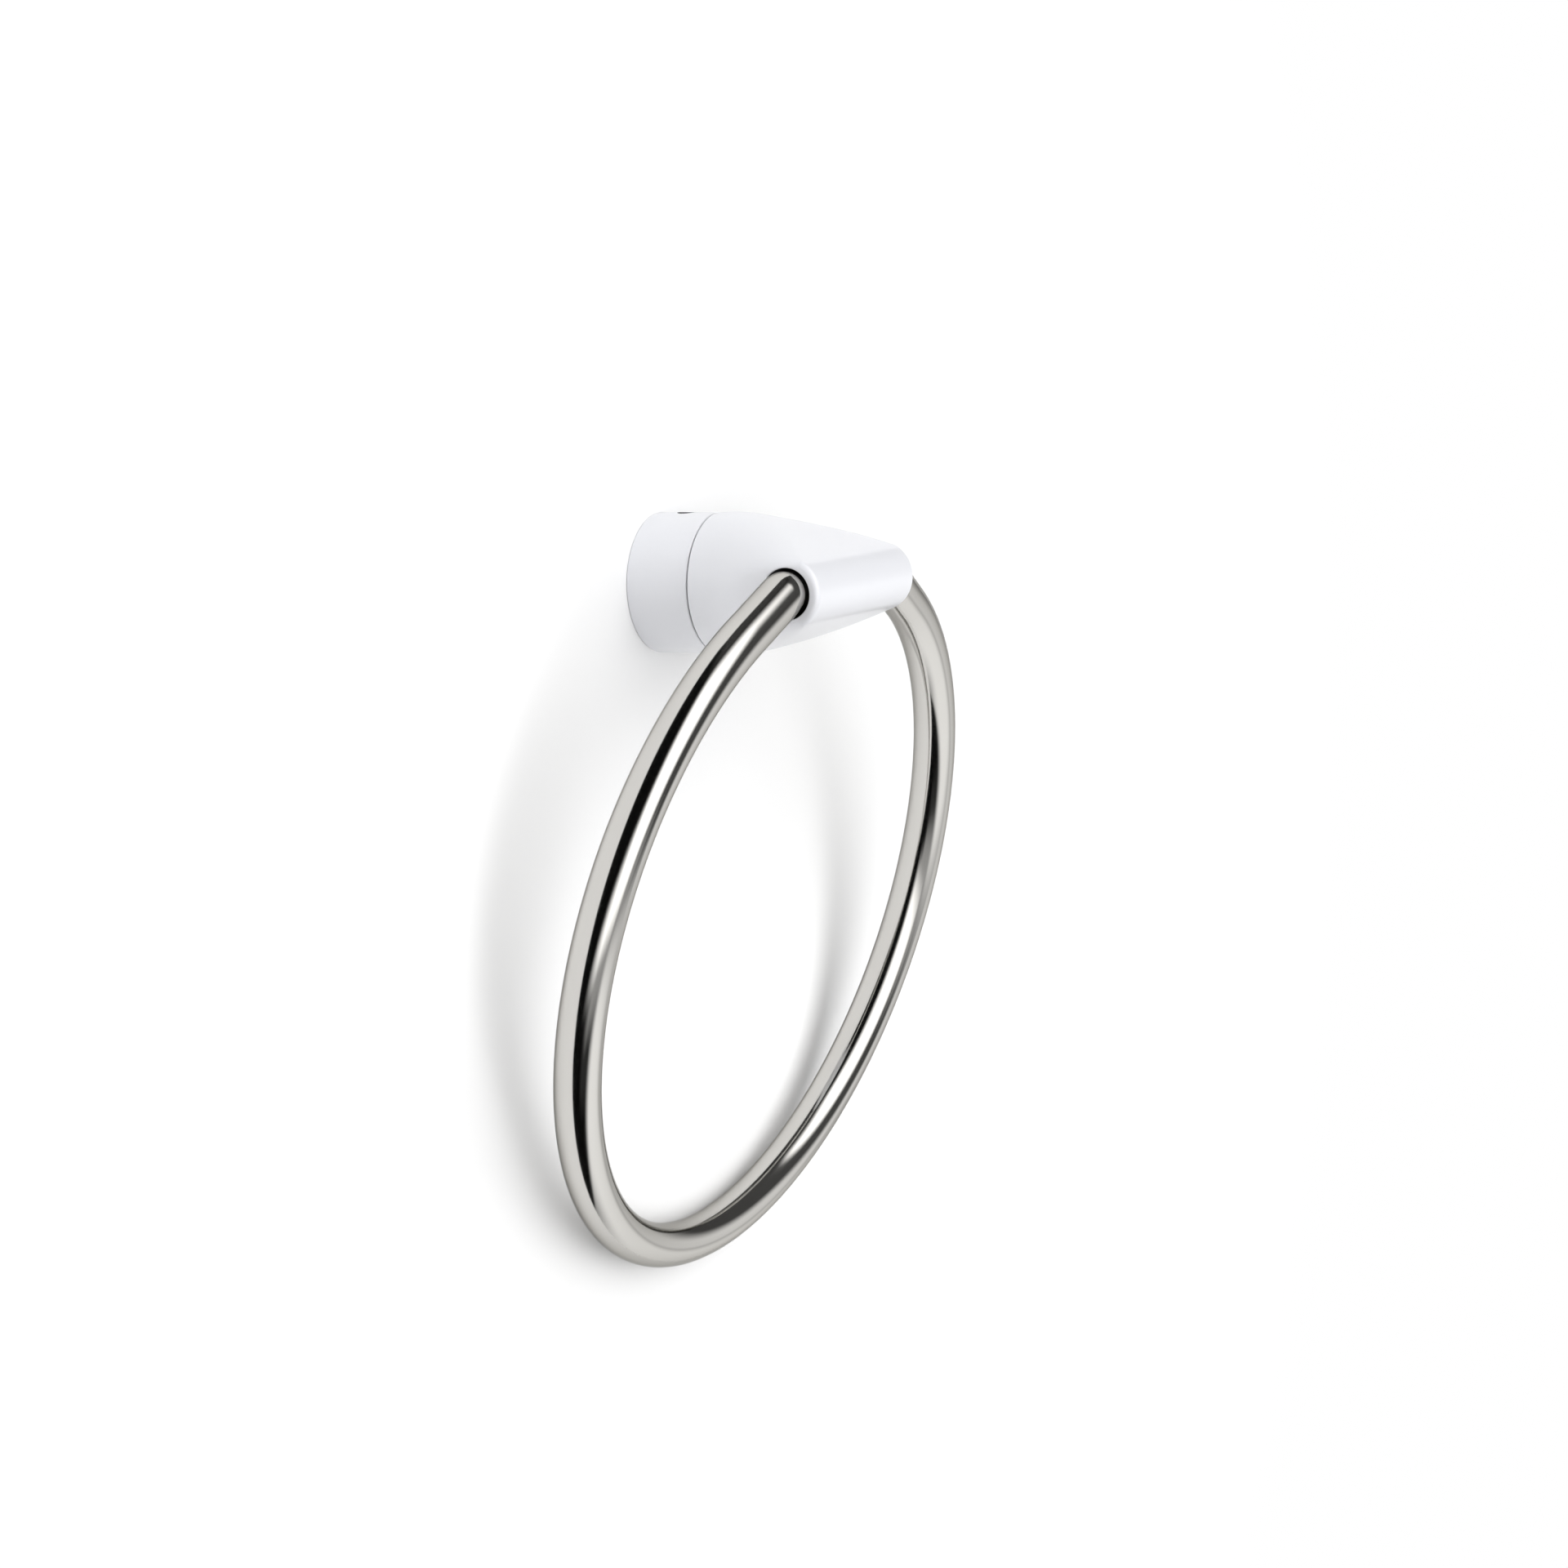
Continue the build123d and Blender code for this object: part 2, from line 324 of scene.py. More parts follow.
def white_coat_material(settings):
    """A sprayed white coat, satin to glossy, with a faint orange-peel relief."""
    base = np.array(settings.coat)
    material, tree, shader = new_material("white_coat_finish", base, metallic=0, roughness=0.3)
    place = object_coordinates(tree)
    mottle = noise(tree, place, scale=90, detail=3)
    peel = noise(tree, place, scale=650, detail=2)
    feed(
        tree, shader,
        Base_Color=shaded(tree, mottle, base, darkest=0.995, lightest=1.004),
        Roughness=between(tree, peel, low=0.28, high=0.31),
        Normal=bumped(tree, peel, relief=0.000003, strength=0.1),
    )
    shader.inputs["Coat Weight"].default_value = COAT_GLOSS
    shader.inputs["Coat Roughness"].default_value = COAT_GLOSS_ROUGHNESS
    lay_out(tree)
    return material


def shaded_bare_metal():
    """Dull cast metal that the coat doesn't reach, in the bores and at the back of the head, made very dark
    as painted shade for the bores and the seam.
    """
    # The dark colours are painted shade: the shadow inside the bores, the seam gap and the threaded hole,
    # laid on the bare metal.
    material, tree, shader = new_material("bore_shaded_bare_metal", (0.16, 0.16, 0.17), metallic=0.6, roughness=0.6)
    grain = noise(tree, object_coordinates(tree), scale=1500, detail=3)
    feed(
        tree, shader,
        Base_Color=tinted(tree, grain, dark=(0.1, 0.1, 0.11), light=(0.2, 0.2, 0.21)),
        Normal=bumped(tree, grain, relief=0.00004, strength=0.4),
    )
    lay_out(tree)
    return material


def polished_metal(settings):
    """Polished plated metal with fine buffing lines that run along the bar."""
    base = np.array(settings.metal)
    material, tree, shader = new_material("polished_bar_finish", base, metallic=1, roughness=0.12)
    place = add_node(tree, "ShaderNodeAttribute", attribute_name="bar_place").outputs["Vector"]
    stretched = add_node(tree, "ShaderNodeVectorMath", operation="MULTIPLY")
    stretched.inputs[1].default_value = BUFFING_STRETCH
    tree.links.new(place, stretched.inputs[0])
    lines = noise(tree, stretched.outputs[0], scale=3500, detail=3)
    cloud = noise(tree, place, scale=60, detail=3)
    feed(
        tree, shader,
        Base_Color=shaded(tree, cloud, base, darkest=0.97, lightest=1.02),
        Roughness=between(tree, lines, low=0.1, high=0.135),
        Normal=bumped(tree, lines, relief=0.000001, strength=0.15),
    )
    shader.inputs["Specular Tint"].default_value = (*settings.edge_tint, 1)
    lay_out(tree)
    return material


def turned_metal(name, base, roughness):
    """Plain plated metal with the fine rings that a lathe leaves."""
    base = np.array(base)
    material, tree, shader = new_material(name, base, metallic=1, roughness=roughness)
    place = object_coordinates(tree)
    rings = add_node(
        tree, "ShaderNodeTexWave", wave_type="RINGS", rings_direction="Y", Scale=700, Distortion=1.5
    )
    feed(tree, rings, Vector=place)
    cloud = noise(tree, place, scale=250, detail=4)
    feed(
        tree, shader,
        Base_Color=shaded(tree, cloud, base, darkest=0.88, lightest=1.06),
        Roughness=between(tree, cloud, low=roughness * 0.8, high=roughness * 1.25),
        Normal=bumped(tree, rings.outputs["Fac"], relief=0.00001, strength=0.3),
    )
    lay_out(tree)
    return material


def finish_of(name, make, *values):
    """A finish that several pieces share, made once."""
    return bpy.data.materials.get(name) or make(*values)


def coat_finish(settings):
    """The white coat of the rosette and the head."""
    return finish_of("white_coat_finish", white_coat_material, settings)


def shaded_bare_finish():
    """The bare metal of the bores, the head's back and the threaded hole, darkened with painted shade."""
    return finish_of("bore_shaded_bare_metal", shaded_bare_metal)


def dress_node(name, material):
    """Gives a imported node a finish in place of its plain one."""
    mesh = frame["nodes"][name].data
    mesh.materials.clear()
    mesh.materials.append(material)


# Head

SMALLEST_STEP = 1e-9
# The nose's last outline is taken just short of its tip, where it would have no height
TIP_SHARE = 0.99999
LIP_STEPS = 12
BORE_FACETS = 144
TOOL_OVERHANG = 0.004
LIP_MARGIN = 1.01
BACK_FACE_MARGIN = 0.00005
HEAD_EDGE_ANGLE = radians(35)


def smooth_run(along, start, start_growth, end, end_growth):
    """Cubic from start to end; each growth is what its end's steepness would give over the whole run."""
    rise = along**2 * (3 - 2 * along)
    leaving = along * (1 - along) ** 2
    arriving = along**2 * (along - 1)
    return start * (1 - rise) + start_growth * leaving + end * rise + end_growth * arriving


class HeadShape:
    """The rule that the head follows, worked out from the post's sizes."""

    def __init__(self, s):
        self.s = s
        self.radius = s.base_diameter / 2
        self.half_width = s.head_width / 2
        self.nose_radius = s.nose_end - s.bore_depth
        self.slope_end = s.bore_depth + self.nose_radius * sin(s.slope_angle)
        run = self.slope_end - s.slope_start
        widened = self.radius + s.widening * (s.slope_start - s.seam_depth)
        fall = widened - self.nose_radius * cos(s.slope_angle)
        half_turn = s.slope_angle - atan2(fall, run)
        self.arc_radius = hypot(run, fall) / 2 / sin(half_turn)
        self.arc_depth = self.slope_end - self.arc_radius * sin(s.slope_angle)
        self.arc_height = self.nose_radius * cos(s.slope_angle) - self.arc_radius * cos(s.slope_angle)

    def height(self, depth):
        """Height of the upper side: it widens from the seam, then crowns over into the slope."""
        arc_depth = max(depth, self.s.crown_end)
        rise = sqrt(self.arc_radius**2 - (arc_depth - self.arc_depth) ** 2)
        run = self.s.crown_end - self.s.seam_depth
        along = min((depth - self.s.seam_depth) / run, 1)
        steepness = (self.arc_depth - arc_depth) / rise
        return smooth_run(along, self.radius, self.s.widening * run, self.arc_height + rise, steepness * run)

    def reach(self, depth):
        """Reach of the side: it flares smoothly to its full width."""
        run = self.s.flare_end - self.s.seam_depth
        along = min((depth - self.s.seam_depth) / run, 1)
        return smooth_run(along, self.radius, self.s.widening * run, self.half_width, 0)

    def corner(self, depth):
        """Width and height of the rounded corner of the section."""
        end_depth = self.slope_end - self.s.bore_depth
        flat = self.nose_radius - self.s.rim_radius
        last_height = self.height(self.slope_end) - sqrt(flat**2 - end_depth**2)
        run = self.slope_end - self.s.slope_start
        share = max((depth - self.s.slope_start) / run, 0) ** self.s.crest_power
        wide = self.reach(depth) * (1 - share) + self.s.rim_radius * share
        high = self.height(depth) * (1 - share) + last_height * share
        return wide, high

    def neck_quarter(self, depth, corner_steps=160, straight_steps=12):
        """A quarter of the section, from the side's middle up to the top's middle."""
        wide, high = self.corner(depth)
        reach, height = self.reach(depth), self.height(depth)
        t = np.linspace(0, pi / 2, corner_steps)
        corner = np.column_stack([reach - wide + wide * np.cos(t), height - high + high * np.sin(t)])
        side = np.linspace([reach, 0], corner[0], straight_steps)[:-1]
        top = np.linspace(corner[-1], [0, height], straight_steps)[1:]
        return np.vstack([side, corner, top])

    def nose_quarter(self, beyond, rim_steps=160, flat_steps=40, straight_steps=12):
        """A quarter of the nose's section, this far in front of the bores' axis."""
        rim, flat = self.s.rim_radius, self.nose_radius - self.s.rim_radius
        t = np.linspace(0, pi / 2, rim_steps)
        outward = np.concatenate([np.linspace(0, flat, flat_steps)[:-1], flat + rim * np.sin(t)])
        flat_reach = np.full(flat_steps - 1, self.half_width)
        reach = np.concatenate([flat_reach, self.half_width - rim + rim * np.cos(t)])
        start = np.interp(beyond, outward, reach)
        kept = outward > beyond
        outward = np.concatenate([[beyond], outward[kept]])
        reach = np.concatenate([[start], reach[kept]])
        side = np.column_stack([reach, np.sqrt(np.maximum(outward**2 - beyond**2, 0))])
        top = np.linspace(side[-1], [0, side[-1][1]], straight_steps)[1:]
        return np.vstack([side, top])


def resampled(quarter, count, length_share=0.45):
    """Points spread over a quarter outline, closer together where it turns."""
    step = np.diff(quarter, axis=0)
    size = np.hypot(step[:, 0], step[:, 1])
    keep = size > SMALLEST_STEP
    quarter, step, size = quarter[np.concatenate([[True], keep])], step[keep], size[keep]
    heading = np.unwrap(np.arctan2(step[:, 1], step[:, 0]))
    bend = np.abs(np.diff(heading))
    turning = np.concatenate([[0], bend / 2]) + np.concatenate([bend / 2, [0]])
    turning_share = (1 - length_share) * turning / max(turning.sum(), SMALLEST_STEP)
    weight = length_share * size / size.sum() + turning_share
    place = np.concatenate([[0], np.cumsum(weight)]) / weight.sum()
    target = np.linspace(0, 1, count)
    return np.column_stack([np.interp(target, place, quarter[:, k]) for k in (0, 1)])


def whole_section(quarter, depth):
    """A full loop round the section at this depth, from one quarter of it."""
    right = np.vstack([quarter, quarter[::-1][1:] * (-1, 1)])
    loop = np.vstack([right, right[::-1][1:-1] * (1, -1)])
    return np.column_stack([loop[:, 0], np.full(len(loop), -depth), loop[:, 1]])


def head_sections(settings, count=56, neck_rows=90, nose_rows=40, edge_rows=5):
    """Loops from the disc behind the seam to the tip of the nose."""
    shape = HeadShape(settings)
    edge = settings.back_edge
    inner = settings.base_diameter / 2 - settings.register_inset
    disc_depth = -ROSETTE_LOW.y
    first = resampled(shape.neck_quarter(settings.seam_depth), count)
    unit = first / np.hypot(first[:, 0], first[:, 1])[:, None]
    loops = [whole_section(unit * radius, disc_depth) for radius in (0, inner)]
    loops.append(whole_section(unit * inner, settings.seam_depth))
    for k in range(edge_rows):
        angle = pi / 2 * k / edge_rows
        inset = edge * (1 - sin(angle))
        loops.append(whole_section(first - unit * inset, settings.seam_depth + edge * (1 - cos(angle))))
    for k in range(neck_rows):
        depth = settings.seam_depth + edge + (shape.slope_end - settings.seam_depth - edge) * k / neck_rows
        loops.append(whole_section(resampled(shape.neck_quarter(depth), count), depth))
    for k in range(nose_rows + 1):
        angle = settings.slope_angle + (pi / 2 - settings.slope_angle) * k / nose_rows
        beyond = shape.nose_radius * sin(angle)
        quarter = resampled(shape.nose_quarter(min(beyond, shape.nose_radius * TIP_SHARE)), count)
        if k == nose_rows:
            quarter[:, 1] = 0
        loops.append(whole_section(quarter, settings.bore_depth + beyond))
    return loops


def bore_tool(settings, side, bore_shade_finish, lip_finish):
    """The solid that is cut out for one bore, with a mouth that opens in a rounded lip; its walls pass on
    the dark finish, painted shade inside the bore.
    """
    radius, lip, reach = settings.bore_diameter / 2, settings.lip_radius, settings.head_width / 2
    profile = [(settings.bore_end, 0), (settings.bore_end, radius), (reach - lip, radius)]
    for k in range(1, LIP_STEPS + 1):
        angle = pi / 2 * k / LIP_STEPS
        profile.append((reach - lip + lip * sin(angle), radius + lip * (1 - cos(angle))))
    profile += [(reach + TOOL_OVERHANG, radius + lip), (reach + TOOL_OVERHANG, 0)]

    def place(along, out, angle):
        return (side * along, -settings.bore_depth + out * cos(angle), out * sin(angle))

    tool = turned_piece("bore_tool", profile, place, BORE_FACETS, bore_shade_finish, lip_finish)
    for face in tool.data.polygons:
        face.material_index = int(abs(face.center.x) > reach - lip * LIP_MARGIN)
    return tool


class TOWEL_OT_head(bpy.types.Operator):
    """Build the white head, round at the seam and wide at the nose, with a bore in each side"""
    bl_idname = "towel.head"
    bl_label = "Head"

    def execute(self, context):
        settings = context.scene.towel_post
        loops = head_sections(settings)
        faces = grid_faces(len(loops), len(loops[0]))
        coated, shaded_bare = coat_finish(settings), shaded_bare_finish()
        head = new_piece("head_shell", np.vstack(loops), faces, coated, shaded_bare)
        tidy_surface(head)
        # The back of the head, seen in the seam, and the bores' walls take the dark metal: painted shade.
        for face in head.data.polygons:
            face.material_index = int(face.center.y > -settings.seam_depth - BACK_FACE_MARGIN)
        for side in (-1, 1):
            cut(head, bore_tool(settings, side, shaded_bare, coated))
        smooth(head, sharp_from=HEAD_EDGE_ANGLE)
        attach(head, "bracket")
        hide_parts("holder_head")
        return {"FINISHED"}


# Rosette and fixings

THREAD_MARGIN = 0.0003
# How far up or down the coated faces round the threaded hole look, at the least
LEVEL_FACE = 0.5


class TOWEL_OT_rosette(bpy.types.Operator):
    """Give the round base its white coat, which its threaded hole is left without; the hole's sides take the
    dark bare metal as painted shade
    """
    bl_idname = "towel.rosette"
    bl_label = "Rosette"

    def execute(self, context):
        dress_node("rosette", coat_finish(context.scene.towel_post))
        rosette = frame["nodes"]["rosette"]
        rosette.data.materials.append(shaded_bare_finish())
        middle = (Vector(GRUB_LOW) + Vector(GRUB_HIGH)) / 2
        reach = (GRUB_HIGH.x - GRUB_LOW.x) / 2 + THREAD_MARGIN
        for face in rosette.data.polygons:
            place = rosette.matrix_world @ face.center
            facing = rosette.matrix_world.to_3x3() @ face.normal
            near = place.z > 0 and hypot(place.x - middle.x, place.y - middle.y) < reach
            # The sides of the threaded hole take the dark metal, painted shade in the hole.
            face.material_index = int(near and abs(facing.z) <= LEVEL_FACE)
        return {"FINISHED"}


class TOWEL_OT_fixings(bpy.types.Operator):
    """Give the wall plate, the screws, the washer and the pins their metal"""
    bl_idname = "towel.fixings"
    bl_label = "Fixings"

    def execute(self, context):
        plate = turned_metal("turned_plate_metal", base=(0.62, 0.62, 0.63), roughness=0.32)
        steel = turned_metal("plain_screw_steel", base=(0.5, 0.5, 0.51), roughness=0.28)
        black = turned_metal("blackened_steel", base=(0.06, 0.06, 0.065), roughness=0.4)
        dress_node("wall_plate", plate)
        dress_node("grub_screw", black)
        for name in ("head_screw", "lock_washer", "locating_pins"):
            dress_node(name, steel)
        return {"FINISHED"}


# Ring

ELBOW_STEPS = 24
CIRCLE_STEPS = 240
RING_EDGE_ANGLE = radians(40)


def ring_centreline(s):
    """Points along the middle of the bar in the ring's own plane: from one end of the bar,
    round its elbow, down the shoulder and round the circle, and the same again mirrored."""
    radius = (s.outside_diameter - s.bar_diameter) / 2
    drop = radius - s.pivot_below_top
    corner = HEAD_HIGH.x + s.elbow_gap
    shoulder = atan2(corner, drop) + acos(radius / hypot(corner, drop))
    setback = s.bend_radius * tan(shoulder / 2)
    half = [(s.stub_end, 0.0)]
    for k in range(ELBOW_STEPS + 1):
        angle = shoulder * k / ELBOW_STEPS
        half.append((corner - setback + s.bend_radius * sin(angle), -s.bend_radius * (1 - cos(angle))))
    for k in range(CIRCLE_STEPS + 1):
        angle = shoulder + (pi - shoulder) * k / CIRCLE_STEPS
        half.append((radius * sin(angle), radius * cos(angle) - drop))
    return half + [(-x, z) for x, z in half[::-1][1:]]


def ring_lean(s):
    """Lean of the ring that lets its lowest point just clear the wall."""
    radius = (s.outside_diameter - s.bar_diameter) / 2
    out = -PIVOT.y - s.bar_diameter / 2 - s.wall_gap
    return asin(out / (2 * radius - s.pivot_below_top))


def bar_tree(material):
    """Geometry nodes that sweep a round bar along a curve and note each point's place on it."""
    tree = bpy.data.node_groups.new("Round bar", "GeometryNodeTree")
    for name, kind, way in (
        ("Path", "NodeSocketGeometry", "INPUT"),
        ("Bar radius", "NodeSocketFloat", "INPUT"),
        ("Facets round", "NodeSocketInt", "INPUT"),
        ("Bar", "NodeSocketGeometry", "OUTPUT"),
    ):
        tree.interface.new_socket(name=name, in_out=way, socket_type=kind)
    given = add_node(tree, "NodeGroupInput").outputs
    circle = add_node(tree, "GeometryNodeCurvePrimitiveCircle")
    feed(tree, circle, Radius=given["Bar radius"], Resolution=given["Facets round"])
    run = add_node(tree, "GeometryNodeSplineParameter").outputs["Length"]
    along = add_node(tree, "GeometryNodeCaptureAttribute")
    along.capture_items.new("FLOAT", "Length")
    feed(tree, along, Length=run, Geometry=given["Path"])
    position = add_node(tree, "GeometryNodeInputPosition").outputs["Position"]
    around = add_node(tree, "GeometryNodeCaptureAttribute")
    around.capture_items.new("VECTOR", "Place")
    feed(tree, around, Place=position, Geometry=circle.outputs["Curve"])
    bar = add_node(tree, "GeometryNodeCurveToMesh", Fill_Caps=True)
    feed(tree, bar, Curve=along.outputs["Geometry"], Profile_Curve=around.outputs["Geometry"])
    split = add_node(tree, "ShaderNodeSeparateXYZ")
    feed(tree, split, Vector=around.outputs["Place"])
    place = add_node(tree, "ShaderNodeCombineXYZ")
    feed(tree, place, X=split.outputs["X"], Y=split.outputs["Y"], Z=along.outputs["Length"])
    note = add_node(
        tree, "GeometryNodeStoreNamedAttribute", data_type="FLOAT_VECTOR", domain="POINT", Name="bar_place"
    )
    feed(tree, note, Geometry=bar.outputs["Mesh"], Value=place.outputs["Vector"])
    soft = add_node(tree, "GeometryNodeSetShadeSmooth")
    feed(tree, soft, Geometry=note.outputs["Geometry"])
    real = add_node(tree, "GeometryNodeRealizeInstances")
    feed(tree, real, Geometry=soft.outputs["Geometry"])
    finish = add_node(tree, "GeometryNodeSetMaterial", Material=material)
    feed(tree, finish, Geometry=real.outputs["Geometry"])
    feed(tree, add_node(tree, "NodeGroupOutput"), Bar=finish.outputs["Geometry"])
    lay_out(tree)
    return tree


def set_input(modifier, name, value):
    """Sets a geometry nodes input by its socket's identifier."""
    sockets = modifier.node_group.interface.items_tree
    socket = next(s for s in sockets if s.name == name and s.in_out == "INPUT")
    modifier[socket.identifier] = value


class TOWEL_OT_ring(bpy.types.Operator):
    """Build the bright ring by sweeping a round bar along its bent centreline"""
    bl_idname = "towel.ring"
    bl_label = "Ring"

    def execute(self, context):
        settings = context.scene.towel_ring
        lean = ring_lean(settings)
        upward = Vector((0, -sin(lean), cos(lean)))
        curve = bpy.data.curves.new("ring_path", "CURVE")
        curve.dimensions = "3D"
        line = ring_centreline(settings)
        spline = curve.splines.new("POLY")
        spline.points.add(len(line) - 1)
        for point, (x, rise) in zip(spline.points, line):
            point.co = (*(PIVOT + Vector((x, 0, 0)) + rise * upward), 1)
        ring = bpy.data.objects.new("ring_bar", curve)
        context.scene.collection.objects.link(ring)
        nodes = ring.modifiers.new("Round bar", "NODES")
        nodes.node_group = bar_tree(polished_metal(settings))
        set_input(nodes, "Bar radius", settings.bar_diameter / 2)
        set_input(nodes, "Facets round", settings.facets_round)
        ring = apply_modifiers(ring)
        smooth(ring, sharp_from=RING_EDGE_ANGLE)
        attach(ring, "swing_ring")
        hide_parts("ring")
        return {"FINISHED"}


# Light

# Patches of light round the ring: the level, where 1 is white, then the middle and the width of each
# edge in degrees. Azimuth 0 looks out of the wall, and 90 looks to the right.
LIGHT_PATCHES = {
    "front_panel": dict(level=2.1, left=(-51, 26), right=(5.5, 20), low=(-21, 24), high=(56, 24)),
    "floor": dict(level=1.2, left=(-9, 34), right=(200, 20), low=(-85, 50), high=(-25, 24)),
    "right_side": dict(level=0.98, left=(38, 18), right=(200, 20), low=(-30, 20), high=(2, 24)),
    "right_gap": dict(level=0.075, left=(5, 20), right=(200, 20), low=(-30, 20), high=(62, 20)),
    "below_panel": dict(level=0.42, left=(-53, 18), right=(20, 20), low=(-38, 16), high=(-12, 14)),
    "low_front": dict(level=0.03, left=(-60, 14), right=(20, 20), low=(-56, 14), high=(-30, 10)),
    "ceiling": dict(level=0.06, left=(-40, 60), right=(200, 20), low=(66, 16), high=(140, 20)),
}
MIRRORED_SHADE = 0.003
# Levels that differ for the light that falls on the wall and the coat
ROOM_LEVELS = {"ceiling": 0.45, "floor": 0.38}
ROOM_SHADE = 0.06
# How far the front panel's upright edges lean, in degrees of azimuth for each degree of elevation
PANEL_SLANT = 0.45
# Light from behind the wall, which only the views from behind show; its edge is a share of the way to +Y
BEHIND_LEVEL = 0.6
BEHIND_EDGE = (0.35, 0.2)


def calculate(tree, operation, *values):
    """A maths node; a value is a number or another node's output."""
    node = add_node(tree, "ShaderNodeMath", operation=operation)
    for k, value in enumerate(values):
        if isinstance(value, (int, float)):
            node.inputs[k].default_value = value
        else:
            tree.links.new(value, node.inputs[k])
    return node.outputs[0]


def rising(tree, value, middle, width):
    """Rises smoothly from 0 to 1 about this middle."""
    node = add_node(
        tree, "ShaderNodeMapRange", interpolation_type="SMOOTHSTEP",
        From_Min=middle - width / 2, From_Max=middle + width / 2,
    )
    feed(tree, node, Value=value)
    return node.outputs["Result"]


def falling(tree, value, middle, width):
    """Falls smoothly from 1 to 0 about this middle."""
    return rising(tree, value, middle, -width)


def light_pattern(tree, direction, shade, levels):
    """Light by direction: a soft panel in front, the floor and the right side, with dark between them."""
    split = add_node(tree, "ShaderNodeSeparateXYZ")
    feed(tree, split, Vector=direction)
    out = calculate(tree, "MULTIPLY", split.outputs["Y"], -1.0)
    azimuth = calculate(tree, "DEGREES", calculate(tree, "ARCTAN2", split.outputs["X"], out))
    elevation = calculate(tree, "DEGREES", calculate(tree, "ARCSINE", split.outputs["Z"]))
    slant = calculate(tree, "MULTIPLY_ADD", elevation, -PANEL_SLANT, azimuth)
    total = shade
    for name, patch in LIGHT_PATCHES.items():
        across = slant if name == "front_panel" else azimuth
        left = rising(tree, across, *patch["left"])
        mask = calculate(tree, "MULTIPLY", left, falling(tree, across, *patch["right"]))
        mask = calculate(tree, "MULTIPLY", mask, rising(tree, elevation, *patch["low"]))
        mask = calculate(tree, "MULTIPLY", mask, falling(tree, elevation, *patch["high"]))
        light = calculate(tree, "MULTIPLY", mask, levels.get(name, patch["level"]))
        total = calculate(tree, "MAXIMUM", light, total)
    behind = calculate(tree, "MULTIPLY", rising(tree, split.outputs["Y"], *BEHIND_EDGE), BEHIND_LEVEL)
    return calculate(tree, "MAXIMUM", behind, total)


# Stage

RING_MIDDLE = RING_LOW.z / 2
# The patch of wall reaches farther to the right and up; its fade's middle and width are from the ring's
# middle, and it laps a little under the post
WALL_SHIFT = (0.6, 0.45)
WALL_FADE = (0.46, 0.26)
WALL_LAP = 0.001
WALL_PAINT = (0.96, 0.96, 0.96, 1)
STUDIO_MIDDLE = (0.0, -0.03, RING_MIDDLE)
# How far away the mirrored studio is at these azimuths: the panel's left edge stands close to the ring
STUDIO_AZIMUTHS = (-90, -48, 10)
STUDIO_DISTANCES = (0.75, 0.42, 1.8)
STUDIO_FLOOR = 0.55
WHITE = (1, 1, 1, 1)
PICTURE_SIZE = 1920
SENSOR_WIDTH = 36.0
NEAREST_SEEN = 0.01


def stage_material(name):
    """An empty material; returns it, its tree and its output."""
    material = bpy.data.materials.new(name)
    material.use_nodes = True
    material.node_tree.nodes.clear()
    return material, material.node_tree, add_node(material.node_tree, "ShaderNodeOutputMaterial")


def mixed(tree, factor, first, second):
    """A mix of two shaders."""
    node = add_node(tree, "ShaderNodeMixShader")
    feed(tree, node, Fac=factor)
    tree.links.new(first, node.inputs[1])
    tree.links.new(second, node.inputs[2])
    return node.outputs["Shader"]


def studio_material():
    """The surroundings that the metal and the gloss of the coat mirror."""
    material, tree, output = stage_material("mirrored_studio")
    centred = add_node(tree, "ShaderNodeVectorMath", operation="SUBTRACT")
    centred.inputs[1].default_value = STUDIO_MIDDLE
    tree.links.new(object_coordinates(tree), centred.inputs[0])
    direction = add_node(tree, "ShaderNodeVectorMath", operation="NORMALIZE")
    tree.links.new(centred.outputs[0], direction.inputs[0])
    light = add_node(tree, "ShaderNodeEmission")
    feed(tree, light, Strength=light_pattern(tree, direction.outputs[0], MIRRORED_SHADE, {}))
    feed(tree, output, Surface=light.outputs[0])
    material.cycles.emission_sampling = "NONE"
    lay_out(tree)
    return material


def wall_material():
    """A matt white wall that can't be seen from behind, and fades to the white beyond its edge."""
    material, tree, output = stage_material("matt_white_wall")
    away = add_node(tree, "ShaderNodeVectorMath", operation="DISTANCE")
    away.inputs[1].default_value = (0.0, 0.0, RING_MIDDLE)
    tree.links.new(object_coordinates(tree), away.inputs[0])
    paint = add_node(tree, "ShaderNodeBsdfDiffuse", Color=WALL_PAINT)
    glow = add_node(tree, "ShaderNodeEmission")
    clear = add_node(tree, "ShaderNodeBsdfTransparent")
    fade = rising(tree, away.outputs["Value"], *WALL_FADE)
    seen = add_node(tree, "ShaderNodeLightPath").outputs["Is Camera Ray"]
    faded = mixed(tree, calculate(tree, "MULTIPLY", fade, seen), paint.outputs[0], glow.outputs[0])
    behind = add_node(tree, "ShaderNodeNewGeometry").outputs["Backfacing"]
    feed(tree, output, Surface=mixed(tree, behind, faded, clear.outputs[0]))
    lay_out(tree)
    return material


def camera_axes(settings):
    """Right, up and back of the camera, with its roll."""
    a, e, r = settings.camera_azimuth, settings.camera_elevation, settings.camera_roll
    back = Vector((-sin(a) * cos(e), -cos(a) * cos(e), sin(e)))
    right = (-back).cross(Vector((0, 0, 1))).normalized()
    up = right.cross(-back)
    return cos(r) * right + sin(r) * up, cos(r) * up - sin(r) * right, back


